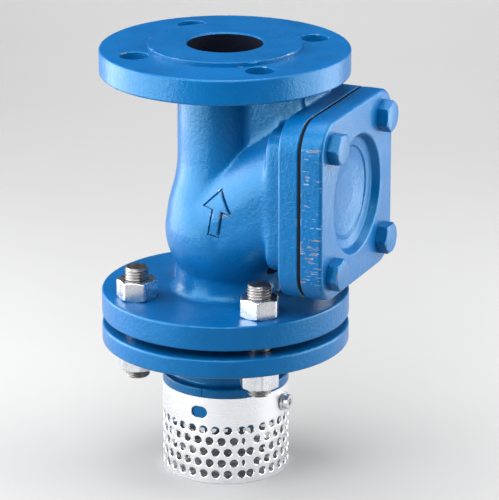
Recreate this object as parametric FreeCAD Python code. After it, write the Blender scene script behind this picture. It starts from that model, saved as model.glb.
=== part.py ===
"""Foot valve, DN50: a swing check valve body on a perforated strainer basket.

Units are millimetres. The pipe axis is Z, the origin is on that axis at the
underside of the strainer, and the cover faces +X. Water flows upwards.
"""
import FreeCAD
import Part
import math
import os

from FreeCAD import Placement, Rotation
from FreeCAD import Vector as V

# ---- driving dimensions -------------------------------------------------

BORE_R = 25.0            # nominal bore DN50
BORED_H = 50.0           # machined part of the outlet, above the cored passage
CORED_R = 26.0
INLET_R = 24.0

FLANGE_R = 82.5          # DN50 PN16 flange
FLANGE_RIM = 17.0
RAISED_R = 51.0
RAISED_H = 3.0
BOLT_CIRCLE_R = 62.5
FLANGE_HOLE_R = 9.5
LOWER_HOLE_R = 9.0       # lower flange and strainer flange
FLANGE_EDGE = 1.6
FLANGE_ANGLES = [45.0, 135.0, 225.0, 315.0]

BASKET_H = 60.3          # strainer basket
BASKET_R = 42.3
SHEET = 1.2
HOLE_ROWS = 5
HOLES_PER_ROW = 32
HOLE_R = 2.75
FIRST_ROW_Z = 6.4
ROW_STEP = 7.8
BOTTOM_PITCH = 8.2
BOTTOM_MARGIN = 2.0
SLOT_Z = 49.6
SLOT_W = 11.0
SLOT_H = 8.0
SEAM_ANGLE = -45.0       # where the rolled sheet laps over itself
LAP_T = 0.8
LAP_HALF = 3.5

COLLAR_Z = BASKET_H      # strainer flange, from the basket upwards
COLLAR_H = 6.5
STRAINER_BORE_R = 30.0
NECK_R = 37.5
SPIGOT_Z = 38.0
COLLAR_EDGE = 1.0
TAPPED_DEPTH = 9.0
DISC_Z = 89.0
DISC_TOP_Z = 102.0
STRAINER_RAISED = 1.0
GASKET_T = 2.0

BODY_Z = DISC_TOP_Z + STRAINER_RAISED + GASKET_T
FACE_TO_FACE = 188.0
TOP_Z = BODY_Z + FACE_TO_FACE
LOWER_RIM_Z = BODY_Z + RAISED_H
LOWER_TOP_Z = LOWER_RIM_Z + FLANGE_RIM
UPPER_RIM_Z = TOP_Z - RAISED_H - FLANGE_RIM

UPPER_NECK_R = 31.5      # outside of the cast body
LOWER_NECK_R = 33.0
NECK_COVE = 7.0
STRAINER_COVE = 4.0
BULB_R = 43.5
BULB_X = 4.0
BULB_Z = 168.0
BULB_CAVITY_R = 36.5

COVER_Z = 201.5          # centre of the cover
COLLAR_X = 50.0          # boxed collar behind the cover flange
COLLAR_HALF_Y = 46.0
COLLAR_HALF_Z = 48.0
COLLAR_CORNER = 14.0
WEB_HALF = 20.0          # web from the neck to the cover flange, under the top flange
BRANCH_R = 43.0
BRANCH_CAVITY_R = 36.0
COVER_OPENING_R = 38.0

SQUARE_X = 63.5          # square flange, gasket and cover, outwards
SQUARE_T = 14.0
SQUARE_HALF = 60.0
SQUARE_CORNER = 20.0
COVER_GASKET_T = 2.0
COVER_GASKET_INSET = 0.4
COVER_T = 15.0
COVER_BOLT_PITCH = 42.0
COVER_SPIGOT_R = 37.5
COVER_SPIGOT_H = 3.0
COVER_EDGE = 2.0
# Radius and depth below the cover's face, from the recess's rim to its middle.
RECESS_PROFILE = [
    (40.6, 0), (39.2, -5), (37.6, -5.6), (31.5, -6.6), (30.5, -7.6),
    (28.9, -7.2), (20, -8.2), (10, -9.0), (0, -9.3),
]

SEAT_X = 2.0             # seat and clapper, in a frame tilted about Y
SEAT_Z = 149.0
SEAT_TILT = 6.0
SEAT_BORE_R = 22.5
SEAT_OUT_R = 28.0
SEAT_H = 9.0
SEAT_LAND = 1.0          # height of the raised ring the clapper lands on
SEAT_LAND_PROFILE = [(26.0, -SEAT_LAND), (25.5, 0), (23.5, 0)]
CLAPPER_R = 26.5
CLAPPER_EDGE_T = 4.0
CLAPPER_BOSS_R = 9.0
CLAPPER_TAPER_R = 20.0
CLAPPER_GAP = 0.2
FACING_R = 26.0
FACING_T = 4.0
DISC_T = 7.0
PLATE_R = 17.5
PLATE_T = 2.8
PLATE_CHAMFER = 0.8
HUB_R = 8.0
STUD_R = 6.0
EYE_R = 12.0
EYE_LOW = 12.0
EYE_TOP = 21.0
BEAM_HALF = 7.0
WASHER_T = 2.0
DISC_NUT_AF = 18.0
DISC_NUT_H = 8.0
SPLIT_PIN_R = 1.2
SPLIT_PIN_HALF = 8.5
TURN_CLEARANCE = 0.06
SIDE_CLEARANCE = 0.3
HINGE_U = 34.0           # hinge from the seat centre, in the tilted frame
HINGE_W = 18.6
KNUCKLE_R = 7.5
KNUCKLE_HALF = 10.3
BUSH_R = 5.5
BUSH_GAP = 2.0
PIN_R = 4.0
PIN_HALF = 18.5
EAR_T = 5.4
EAR_R = 7.0
CLIP_T = 1.0
CLIP_WIDTH = 2.4

BRACKET_X0 = 50.0        # bracket base on its pad in the body
BRACKET_X1 = 62.0
BRACKET_HALF = 17.0
PAD_Z = 165.0
PAD_DEPTH = 10.0
BASE_T = 6.0
SCREW_INSET = 7.0

NUT_AF = 24.0            # M16 flange studs
NUT_H = 13.0
M16_R = 8.0
STUD_OVER = 8.5
STUD_UNDER = 6.0
STUD_CHAMFER = 1.5

COVER_BOLT_AF = 19.0     # M12 cover bolts
COVER_HEAD_H = 8.0
M12_R = 6.0
M12_HOLE_R = 6.75
COVER_BOLT_LENGTH = 30.0

M6_R = 3.0               # strainer, bracket and facing screws
M6_HOLE_R = 3.3
M6_AF = 10.0
M6_HEAD_H = 4.0
PAN_HEAD_R = 5.0
PAN_HEAD_H = 3.4
PAN_SOCKET_R = 2.4
SCREW_LENGTH = 10.5
SMALL_WASHER_R = 6.5
SMALL_WASHER_T = 1.4
THREAD_GAP = 0.1
HEX_FACE_INSET = 0.3     # the turned face of a hexagon, inside its flats

OVER = 1.0               # how far a cutter or a buried joint runs past a face

Z_AXIS = V(0, 0, 1)
Y_AXIS = V(0, 1, 0)
X_AXIS = V(1, 0, 0)
TILTED = Placement(V(SEAT_X, 0, SEAT_Z), Rotation(Y_AXIS, SEAT_TILT))
HINGE = TILTED.multVec(V(HINGE_U, 0, HINGE_W))


# ---- helpers ------------------------------------------------------------

def rod(radius, low, high, x=0.0, y=0.0):
    """A cylinder along Z."""
    return Part.makeCylinder(radius, high - low, V(x, y, low), Z_AXIS)


def cross_rod(radius, low, high, x=0.0, z=0.0):
    """A cylinder along Y."""
    return Part.makeCylinder(radius, high - low, V(x, low, z), Y_AXIS)


def cover_rod(radius, low, high, y=0.0, z=0.0):
    """A cylinder along X, placed from the centre of the cover."""
    return Part.makeCylinder(radius, high - low, V(low, y, COVER_Z + z), X_AXIS)


def block(x0, x1, y0, y1, z0, z1):
    return Part.makeBox(x1 - x0, y1 - y0, z1 - z0, V(x0, y0, z0))


def turned(points):
    """A solid turned about Z from (radius, height) points."""
    corners = [V(r, 0, z) for r, z in points]
    profile = Part.makePolygon(corners + corners[:1])
    return Part.Face(profile).revolve(V(0, 0, 0), Z_AXIS, 360)


def cove(radius, foot, size, up):
    """A ring with a concave fillet, where a neck meets a flange."""
    far = foot + up * size
    middle = V(radius + size - size * math.cos(math.pi / 4), 0,
               far - up * size * math.sin(math.pi / 4))
    arc = Part.Arc(V(radius, 0, far), middle, V(radius + size, 0, foot))
    inner = radius - OVER
    lines = [
        Part.LineSegment(V(radius + size, 0, foot), V(inner, 0, foot)),
        Part.LineSegment(V(inner, 0, foot), V(inner, 0, far)),
        Part.LineSegment(V(inner, 0, far), V(radius, 0, far)),
    ]
    edges = [arc.toShape()] + [line.toShape() for line in lines]
    profile = Part.Wire(Part.sortEdges(edges)[0])
    return Part.Face(profile).revolve(V(0, 0, 0), Z_AXIS, 360)


def polar(radius, degrees):
    angle = math.radians(degrees)
    return radius * math.cos(angle), radius * math.sin(angle)


def rounded_square(x, half_y, half_z, corner):
    """A rounded square wire in the plane at x, about the cover's centre."""
    edges = []
    for quarter in range(4):
        a0 = math.radians(90 * quarter)
        a1 = math.radians(90 * quarter + 45)
        a2 = math.radians(90 * quarter + 90)
        sy = 1 if quarter in (0, 3) else -1
        sz = 1 if quarter in (0, 1) else -1
        cy = sy * (half_y - corner)
        cz = sz * (half_z - corner)
        points = [V(x, cy + corner * math.cos(a), COVER_Z + cz + corner * math.sin(a))
                  for a in (a0, a1, a2)]
        if edges:
            edges.append(Part.LineSegment(last, points[0]).toShape())
        else:
            first = points[0]
        edges.append(Part.Arc(*points).toShape())
        last = points[2]
    edges.append(Part.LineSegment(last, first).toShape())
    return Part.Wire(edges)


def branch_circle(radius, half_y, half_z, corner):
    """A circle around the branch's root, cut where the rounded square is."""
    lean = math.atan2(COVER_Z - BULB_Z, COLLAR_X - BULB_X)
    up = V(-math.sin(lean), 0, math.cos(lean))
    centre = V(BULB_X, 0, BULB_Z)
    angles = []
    for quarter in range(4):
        sy = 1 if quarter in (0, 3) else -1
        sz = 1 if quarter in (0, 1) else -1
        for part in (0, 90):
            a = math.radians(90 * quarter + part)
            py = sy * (half_y - corner) + corner * math.cos(a)
            pz = sz * (half_z - corner) + corner * math.sin(a)
            angles.append(math.atan2(pz, py))

    def at(angle):
        return centre + Y_AXIS * (radius * math.cos(angle)) + up * (radius * math.sin(angle))

    edges = []
    for i, start in enumerate(angles):
        end = angles[(i + 1) % len(angles)]
        if end < start:
            end += 2 * math.pi
        edges.append(Part.Arc(at(start), at((start + end) / 2), at(end)).toShape())
    return Part.Wire(edges)


def plate_on_x(x0, x1, half, corner):
    face = Part.Face(rounded_square(x0, half, half, corner))
    return face.extrude(V(x1 - x0, 0, 0))


def circle_edges(solid, radius):
    """The full circles of one radius on a solid."""
    found = []
    for edge in solid.Edges:
        curve = edge.Curve
        if isinstance(curve, Part.Circle) and abs(curve.Radius - radius) < 1e-6:
            found.append(edge)
    return found


def flange_rim(low, high):
    rim = rod(FLANGE_R, low, high)
    return rim.makeFillet(FLANGE_EDGE, circle_edges(rim, FLANGE_R))


def flange_holes(radius, low, high):
    return [rod(radius, low, high, *polar(BOLT_CIRCLE_R, a)) for a in FLANGE_ANGLES]


def hexagon(across_flats, low, high, both_ends=True):
    """A hexagon along Z with its corners turned off at 30 degrees."""
    corner_r = across_flats / math.sqrt(3)
    points = [V(*polar(corner_r, 60 * i), low) for i in range(7)]
    prism = Part.Face(Part.makePolygon(points)).extrude(V(0, 0, high - low))
    inner = across_flats / 2 - HEX_FACE_INSET
    drop = (corner_r - inner) * math.tan(math.radians(30))
    outer = corner_r + 0.01
    low_r = inner if both_ends else outer
    points = [(0, low), (low_r, low), (outer, low + drop), (outer, high - drop), (inner, high), (0, high)]
    if not both_ends:
        points.remove((outer, low + drop))
    return prism.common(turned(points))


def at(solid, x, y, z=0.0):
    moved = solid.copy()
    moved.translate(V(x, y, z))
    return moved


def onto_cover(solid, y, z):
    """Turns a solid made along Z to point along X at the cover."""
    moved = solid.copy()
    moved.Placement = Placement(V(0, y, COVER_Z + z), Rotation(Z_AXIS, X_AXIS))
    return moved


def tilted(solid):
    """Moves a solid from the seat's own frame to the valve's."""
    moved = solid.copy()
    moved.Placement = TILTED.multiply(solid.Placement)
    return moved


def corners(pitch):
    return [(y * pitch, z * pitch) for y in (1, -1) for z in (1, -1)]


def save(name, shape):
    if isinstance(shape, list):
        shape = Part.makeCompound(shape)
    shape.exportStep(os.path.join("parts", name + ".step"))
    box = shape.BoundBox
    print(name, len(shape.Solids), shape.isValid(), round(shape.Volume),
          [round(value, 2) for value in (box.XMin, box.XMax, box.YMin, box.YMax, box.ZMin, box.ZMax)])


# ---- valve body and cover -----------------------------------------------

def seat_side(low, high):
    """A slab across the body, in the seat's frame."""
    return tilted(rod(100.0, low, high))


def valve_body():
    outer_wire = rounded_square(COLLAR_X, COLLAR_HALF_Y, COLLAR_HALF_Z, COLLAR_CORNER)
    collar = Part.Face(outer_wire).extrude(V(SQUARE_X - COLLAR_X, 0, 0))
    root = branch_circle(BRANCH_R, COLLAR_HALF_Y, COLLAR_HALF_Z, COLLAR_CORNER)
    branch = Part.makeLoft([root, outer_wire], True, True)
    square = plate_on_x(SQUARE_X, SQUARE_X + SQUARE_T, SQUARE_HALF, SQUARE_CORNER)
    outside = Part.makeSphere(BULB_R, V(BULB_X, 0, BULB_Z)).multiFuse([
        rod(UPPER_NECK_R, BULB_Z, UPPER_RIM_Z + OVER),
        rod(LOWER_NECK_R, LOWER_TOP_Z - OVER, BULB_Z),
        cove(UPPER_NECK_R, UPPER_RIM_Z, NECK_COVE, -1),
        cove(LOWER_NECK_R, LOWER_TOP_Z, NECK_COVE, 1),
        branch,
        collar,
        square,
        block(0, SQUARE_X + OVER, -WEB_HALF, WEB_HALF, COVER_Z, UPPER_RIM_Z + OVER),
        flange_rim(LOWER_RIM_Z, LOWER_TOP_Z),
        flange_rim(UPPER_RIM_Z, UPPER_RIM_Z + FLANGE_RIM),
        rod(RAISED_R, BODY_Z, LOWER_RIM_Z + OVER),
        rod(RAISED_R, TOP_Z - RAISED_H - OVER, TOP_Z),
    ])

    lean = V(SQUARE_X - BULB_X, 0, COVER_Z - BULB_Z)
    side = V(-lean.z, 0, lean.x).normalize()
    circle = Part.Circle(V(BULB_X, 0, BULB_Z), lean, BRANCH_CAVITY_R)
    circle.XAxis = side
    mouth = Part.Circle(V(SQUARE_X, 0, COVER_Z), X_AXIS, COVER_OPENING_R)
    mouth.XAxis = Z_AXIS
    branch_hollow = Part.makeLoft([Part.Wire(circle.toShape()), Part.Wire(mouth.toShape())], True, True)
    chamber = Part.makeSphere(BULB_CAVITY_R, V(BULB_X, 0, BULB_Z)).multiFuse([
        branch_hollow,
        cover_rod(COVER_OPENING_R, SQUARE_X - OVER / 2, SQUARE_X + SQUARE_T + OVER),
        rod(BORE_R, BULB_Z, TOP_Z + OVER),
        rod(CORED_R, BULB_Z, TOP_Z - BORED_H),
    ])
    chamber = chamber.cut(seat_side(-BULB_R - SEAT_H, -SEAT_LAND))
    inlet = rod(INLET_R, BODY_Z - OVER, SEAT_Z).cut(seat_side(-SEAT_H, BULB_R))
    pocket = tilted(rod(SEAT_OUT_R, -SEAT_H, 0))
    tapped = [cover_rod(M12_R, SQUARE_X + OVER, SQUARE_X + SQUARE_T + OVER, y, z)
              for y, z in corners(COVER_BOLT_PITCH)]
    body = outside.cut([chamber, inlet, pocket] + tapped
                       + flange_holes(LOWER_HOLE_R, BODY_Z - OVER, LOWER_TOP_Z + OVER)
                       + flange_holes(FLANGE_HOLE_R, UPPER_RIM_Z - OVER, TOP_Z + OVER))

    pad_half = BRACKET_HALF + OVER
    pad = block(BRACKET_X0 - OVER, SQUARE_X + OVER, -pad_half, pad_half, PAD_Z - PAD_DEPTH, PAD_Z)
    room = block(BRACKET_X0 - OVER, SQUARE_X + OVER, -pad_half, pad_half, PAD_Z, PAD_Z + 2 * BASE_T)
    body = body.fuse(pad).cut(room)
    return body.cut([rod(M6_R, PAD_Z - PAD_DEPTH + OVER, PAD_Z + OVER, x, y) for x, y in bracket_screw_places()])


def cover():
    x0 = SQUARE_X + SQUARE_T + COVER_GASKET_T
    x1 = x0 + COVER_T
    plate = plate_on_x(x0, x1, SQUARE_HALF, SQUARE_CORNER)
    rim = [edge for edge in plate.Edges if edge.BoundBox.XLength < 1e-6 and edge.BoundBox.XMin > x1 - 1e-6]
    plate = plate.makeFillet(COVER_EDGE, rim)
    plate = plate.fuse(cover_rod(COVER_SPIGOT_R, x0 - COVER_GASKET_T - COVER_SPIGOT_H, x0 + OVER))
    recess = turned([(0, OVER), (RECESS_PROFILE[0][0], OVER)] + RECESS_PROFILE)
    recess.Placement = Placement(V(x1, 0, COVER_Z), Rotation(Z_AXIS, X_AXIS))
    holes = [cover_rod(M12_HOLE_R, x0 - OVER, x1 + OVER, y, z) for y, z in corners(COVER_BOLT_PITCH)]
    return plate.cut([recess] + holes).removeSplitter()


def cover_gasket():
    x0 = SQUARE_X + SQUARE_T
    x1 = x0 + COVER_GASKET_T
    sheet = plate_on_x(x0, x1, SQUARE_HALF - COVER_GASKET_INSET, SQUARE_CORNER)
    holes = [cover_rod(M12_HOLE_R, x0 - OVER, x1 + OVER, y, z) for y, z in corners(COVER_BOLT_PITCH)]
    return sheet.cut([cover_rod(COVER_OPENING_R, x0 - OVER, x1 + OVER)] + holes)


def cover_bolts():
    face = SQUARE_X + SQUARE_T + COVER_GASKET_T + COVER_T
    head = hexagon(COVER_BOLT_AF, face, face + COVER_HEAD_H, both_ends=False)
    bolt = head.fuse(rod(M12_R - THREAD_GAP, face - COVER_BOLT_LENGTH, face + OVER))
    return [onto_cover(bolt, y, z) for y, z in corners(COVER_BOLT_PITCH)]


# ---- seat, clapper and hinge --------------------------------------------

def seat_ring():
    outside = [(SEAT_BORE_R, -SEAT_H), (SEAT_OUT_R, -SEAT_H), (SEAT_OUT_R, -SEAT_LAND)]
    return tilted(turned(outside + SEAT_LAND_PROFILE + [(SEAT_BORE_R, -SEAT_LAND)]))


DISC_LOW = CLAPPER_GAP + FACING_T
DISC_TOP = DISC_LOW + DISC_T
NUT_LOW = EYE_TOP + SIDE_CLEARANCE + WASHER_T
NUT_TOP = NUT_LOW + DISC_NUT_H
SPLIT_W = NUT_TOP + 2.0      # height of the split pin and end of the stud, seat frame
STUD_TOP = SPLIT_W + 3.5
STUD_TIP = 1.0
FACING_SCREW_DEPTH = 5.0


def clapper_disc():
    boss = EYE_LOW - SIDE_CLEARANCE
    disc = turned([
        (0, DISC_LOW), (CLAPPER_R, DISC_LOW), (CLAPPER_R, DISC_LOW + CLAPPER_EDGE_T),
        (CLAPPER_TAPER_R, DISC_TOP), (CLAPPER_BOSS_R, DISC_TOP), (CLAPPER_BOSS_R, boss), (STUD_R, boss),
        (STUD_R, STUD_TOP - STUD_TIP), (STUD_R - STUD_TIP, STUD_TOP), (0, STUD_TOP),
    ])
    tapped = rod(M6_R, DISC_LOW - OVER, DISC_LOW + FACING_SCREW_DEPTH)
    pin_hole = cross_rod(SPLIT_PIN_R + TURN_CLEARANCE, -SPLIT_PIN_HALF, SPLIT_PIN_HALF, 0, SPLIT_W)
    return tilted(disc.cut([tapped, pin_hole]))


def clapper_facing():
    return tilted(rod(FACING_R, CLAPPER_GAP, DISC_LOW).cut(rod(HUB_R, 0, DISC_LOW + OVER)))


def retaining_plate():
    plate = rod(PLATE_R, CLAPPER_GAP - PLATE_T, CLAPPER_GAP)
    plate = plate.makeChamfer(PLATE_CHAMFER, circle_edges(plate, PLATE_R)[:1])
    hole = rod(M6_HOLE_R, CLAPPER_GAP - PLATE_T - OVER, DISC_LOW + OVER)
    return tilted(plate.fuse(rod(HUB_R, 0, DISC_LOW)).cut(hole))


def facing_screw():
    low = CLAPPER_GAP - PLATE_T
    head = hexagon(M6_AF, low - M6_HEAD_H, low)
    shank = rod(M6_R - THREAD_GAP, low - OVER, DISC_LOW + FACING_SCREW_DEPTH - 2 * THREAD_GAP)
    return tilted(head.fuse(shank))


def clapper_arm():
    eye = rod(EYE_R, EYE_LOW, EYE_TOP)
    knuckle = cross_rod(KNUCKLE_R, -KNUCKLE_HALF, KNUCKLE_HALF, HINGE_U, HINGE_W)
    beam = block(0, HINGE_U, -BEAM_HALF, BEAM_HALF, EYE_LOW + OVER, EYE_TOP - OVER / 2)
    arm = eye.multiFuse([knuckle, beam])
    return tilted(arm.cut([
        rod(STUD_R + TURN_CLEARANCE, EYE_LOW - OVER, EYE_TOP + OVER),
        cross_rod(BUSH_R, -PIN_HALF, PIN_HALF, HINGE_U, HINGE_W),
    ]).removeSplitter())


def arm_bushes():
    bushes = []
    for side in (-1, 1):
        low, high = sorted((side * BUSH_GAP / 2, side * KNUCKLE_HALF))
        tube = cross_rod(BUSH_R, low, high, HINGE_U, HINGE_W)
        hole = cross_rod(PIN_R + TURN_CLEARANCE, -PIN_HALF, PIN_HALF, HINGE_U, HINGE_W)
        bushes.append(tilted(tube.cut(hole)))
    return bushes


def disc_washer():
    low = EYE_TOP + SIDE_CLEARANCE
    return tilted(rod(EYE_R - 1, low, NUT_LOW).cut(rod(STUD_R + 0.2, low - OVER, NUT_LOW + OVER)))


def disc_nut():
    return tilted(hexagon(DISC_NUT_AF, NUT_LOW, NUT_TOP).cut(rod(STUD_R, NUT_LOW - OVER, NUT_TOP + OVER)))


def split_pin():
    shank = cross_rod(SPLIT_PIN_R, -SPLIT_PIN_HALF, SPLIT_PIN_HALF, 0, SPLIT_W)
    head = Part.makeTorus(1.9, 0.8, V(0, SPLIT_PIN_HALF + 1.7, SPLIT_W), X_AXIS)
    return tilted(shank.fuse(head))


def hinge_pin():
    return cross_rod(PIN_R, -PIN_HALF, PIN_HALF, HINGE.x, HINGE.z)


def pin_clips():
    clips = []
    for side in (-1, 1):
        inner = side * (KNUCKLE_HALF + SIDE_CLEARANCE + EAR_T + 0.2)
        low, high = sorted((inner, inner + side * CLIP_T))
        ring = cross_rod(PIN_R + CLIP_WIDTH, low, high, HINGE.x, HINGE.z)
        clips.append(ring.cut(cross_rod(PIN_R, -PIN_HALF, PIN_HALF, HINGE.x, HINGE.z)))
    return clips


def bracket_screw_places():
    middle = (BRACKET_X0 + BRACKET_X1) / 2
    return [(middle, side * (BRACKET_HALF - SCREW_INSET)) for side in (-1, 1)]


def hinge_bracket():
    base = block(BRACKET_X0, BRACKET_X1, -BRACKET_HALF, BRACKET_HALF, PAD_Z, PAD_Z + BASE_T)
    inner = KNUCKLE_HALF + SIDE_CLEARANCE
    parts = []
    for side in (-1, 1):
        low, high = sorted((side * inner, side * (inner + EAR_T)))
        parts.append(cross_rod(EAR_R, low, high, HINGE.x, HINGE.z))
        parts.append(block(HINGE.x, BRACKET_X0 + OVER, low, high, PAD_Z, HINGE.z + EAR_R))
    bracket = base.multiFuse(parts)
    holes = [rod(M6_HOLE_R, PAD_Z - OVER, PAD_Z + BASE_T + OVER, x, y) for x, y in bracket_screw_places()]
    pin_hole = cross_rod(PIN_R, -PIN_HALF, PIN_HALF, HINGE.x, HINGE.z)
    return bracket.cut(holes + [pin_hole]).removeSplitter()


def bracket_screws():
    top = PAD_Z + BASE_T
    head = hexagon(M6_AF, top, top + M6_HEAD_H, both_ends=False)
    screw = head.fuse(rod(M6_R - THREAD_GAP, PAD_Z - PAD_DEPTH + 1.5 * OVER, top + OVER))
    return [at(screw, x, y) for x, y in bracket_screw_places()]


# ---- flange joint -------------------------------------------------------

def flange_gasket():
    low = DISC_TOP_Z + STRAINER_RAISED
    return rod(RAISED_R, low, low + GASKET_T).cut(rod(STRAINER_BORE_R, low - OVER, low + GASKET_T + OVER))


def nut_places():
    return [polar(BOLT_CIRCLE_R, a) for a in FLANGE_ANGLES]


def flange_studs():
    stud = rod(M16_R - THREAD_GAP, DISC_Z - NUT_H - STUD_UNDER, LOWER_TOP_Z + NUT_H + STUD_OVER)
    stud = stud.makeChamfer(STUD_CHAMFER, circle_edges(stud, M16_R - THREAD_GAP))
    return [at(stud, x, y) for x, y in nut_places()]


def nuts(low):
    nut = hexagon(NUT_AF, low, low + NUT_H).cut(rod(M16_R, low - OVER, low + NUT_H + OVER))
    return [at(nut, x, y) for x, y in nut_places()]


# ---- strainer -----------------------------------------------------------

def strainer_flange():
    collar_top = COLLAR_Z + COLLAR_H
    spigot_r = BASKET_R - SHEET - 0.1
    casting = turned([
        (STRAINER_BORE_R, SPIGOT_Z), (spigot_r, SPIGOT_Z), (spigot_r, COLLAR_Z), (BASKET_R, COLLAR_Z),
        (BASKET_R, collar_top - COLLAR_EDGE), (BASKET_R - COLLAR_EDGE, collar_top), (NECK_R, collar_top),
        (NECK_R, DISC_Z + OVER), (STRAINER_BORE_R, DISC_Z + OVER),
    ])
    top = DISC_TOP_Z + STRAINER_RAISED
    disc = flange_rim(DISC_Z, DISC_TOP_Z).fuse(rod(RAISED_R, DISC_TOP_Z - OVER, top))
    disc = disc.cut(rod(STRAINER_BORE_R, DISC_Z - STRAINER_COVE - OVER, top + OVER))
    tapped = [radial_rod(M6_R, spigot_r - TAPPED_DEPTH, spigot_r + OVER, a, SLOT_Z) for a in SCREW_ANGLES]
    flange = casting.multiFuse([disc, cove(NECK_R, DISC_Z, STRAINER_COVE, -1)])
    return flange.cut(tapped + flange_holes(LOWER_HOLE_R, DISC_Z - OVER, top + OVER)).removeSplitter()


SCREW_ANGLES = [0.0, 90.0]
SLOT_ANGLES = [0.0, 90.0, 180.0, 270.0]


def radial_rod(radius, near, far, degrees, z):
    """A cylinder that points outwards from the pipe axis."""
    ux, uy = polar(1.0, degrees)
    return Part.makeCylinder(radius, far - near, V(ux * near, uy * near, z), V(ux, uy, 0))


def slot(degrees):
    """An obround cutter, long side around the basket."""
    reach = (SLOT_W - SLOT_H) / 2
    near = BASKET_R - SLOT_H
    far = BASKET_R + SLOT_H
    bar = block(near, far, -reach, reach, SLOT_Z - SLOT_H / 2, SLOT_Z + SLOT_H / 2)
    ends = [Part.makeCylinder(SLOT_H / 2, far - near, V(near, side * reach, SLOT_Z), X_AXIS) for side in (-1, 1)]
    cutter = bar.multiFuse(ends)
    cutter.rotate(V(0, 0, 0), Z_AXIS, degrees)
    return cutter


def strainer_basket():
    wall = rod(BASKET_R, 0, BASKET_H).cut(rod(BASKET_R - SHEET, -OVER, BASKET_H + OVER))
    lap = rod(BASKET_R + LAP_T, 0, BASKET_H - 0.3).cut(rod(BASKET_R - 0.2, -OVER, BASKET_H + OVER))
    wedge = block(0, BASKET_R + SLOT_H, -LAP_HALF, LAP_HALF, -OVER, BASKET_H + OVER)
    wedge.rotate(V(0, 0, 0), Z_AXIS, SEAM_ANGLE)
    wall = wall.fuse(lap.common(wedge))
    cutters = [slot(a) for a in SLOT_ANGLES]
    step = 360.0 / HOLES_PER_ROW
    for row in range(HOLE_ROWS):
        z = FIRST_ROW_Z + row * ROW_STEP
        for i in range(HOLES_PER_ROW):
            degrees = (i + 0.5 * (row % 2)) * step
            cutters.append(radial_rod(HOLE_R, BASKET_R - SLOT_H, BASKET_R + SLOT_H, degrees, z))
    return wall.cut(Part.makeCompound(cutters))


def strainer_bottom():
    plate = rod(BASKET_R - SHEET, 0, SHEET)
    row_step = BOTTOM_PITCH * math.sqrt(3) / 2
    cutters = []
    for row in range(-5, 6):
        for i in range(-6, 7):
            x = (i + 0.5 * (row % 2) + 0.5) * BOTTOM_PITCH
            y = (row + 1 / 3) * row_step
            if math.hypot(x, y) < BASKET_R - SHEET - HOLE_R - BOTTOM_MARGIN:
                cutters.append(rod(HOLE_R, -OVER, SHEET + OVER, x, y))
    return plate.cut(Part.makeCompound(cutters))


def strainer_washers():
    far = BASKET_R + SMALL_WASHER_T
    return [radial_rod(SMALL_WASHER_R, BASKET_R, far, a, SLOT_Z).cut(
        radial_rod(M6_R + 0.2, BASKET_R - OVER, far + OVER, a, SLOT_Z)) for a in SCREW_ANGLES]


def strainer_screws():
    screws = []
    for a in SCREW_ANGLES:
        head_low = BASKET_R + SMALL_WASHER_T
        head = radial_rod(PAN_HEAD_R, head_low, head_low + PAN_HEAD_H, a, SLOT_Z)
        shank = radial_rod(M6_R - THREAD_GAP, head_low - SCREW_LENGTH, head_low + OVER, a, SLOT_Z)
        drive = radial_rod(PAN_SOCKET_R, head_low + PAN_HEAD_H - 2.0, head_low + PAN_HEAD_H + OVER, a, SLOT_Z)
        screws.append(head.fuse(shank).cut(drive))
    return screws


# ---- the whole valve ----------------------------------------------------

NODES = {
    "valve_body": valve_body,
    "cover": cover,
    "cover_gasket": cover_gasket,
    "cover_bolts": cover_bolts,
    "seat_ring": seat_ring,
    "clapper_disc": clapper_disc,
    "clapper_facing": clapper_facing,
    "retaining_plate": retaining_plate,
    "facing_screw": facing_screw,
    "clapper_arm": clapper_arm,
    "arm_bushes": arm_bushes,
    "disc_washer": disc_washer,
    "disc_nut": disc_nut,
    "split_pin": split_pin,
    "hinge_pin": hinge_pin,
    "pin_clips": pin_clips,
    "hinge_bracket": hinge_bracket,
    "bracket_screws": bracket_screws,
    "flange_gasket": flange_gasket,
    "flange_studs": flange_studs,
    "upper_nuts": lambda: nuts(LOWER_TOP_Z),
    "lower_nuts": lambda: nuts(DISC_Z - NUT_H),
    "strainer_flange": strainer_flange,
    "strainer_basket": strainer_basket,
    "strainer_bottom": strainer_bottom,
    "strainer_washers": strainer_washers,
    "strainer_screws": strainer_screws,
}

os.makedirs("parts", exist_ok=True)
for name, make in NODES.items():
    save(name, make())
print("hinge", HINGE, "clapper axis", TILTED.Rotation.multVec(Z_AXIS))
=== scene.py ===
"""Foot valve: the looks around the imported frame. Metres, pipe axis on Z, cover towards +X."""
import bpy
import bmesh
import math
from mathutils import Matrix, Vector, noise


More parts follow.
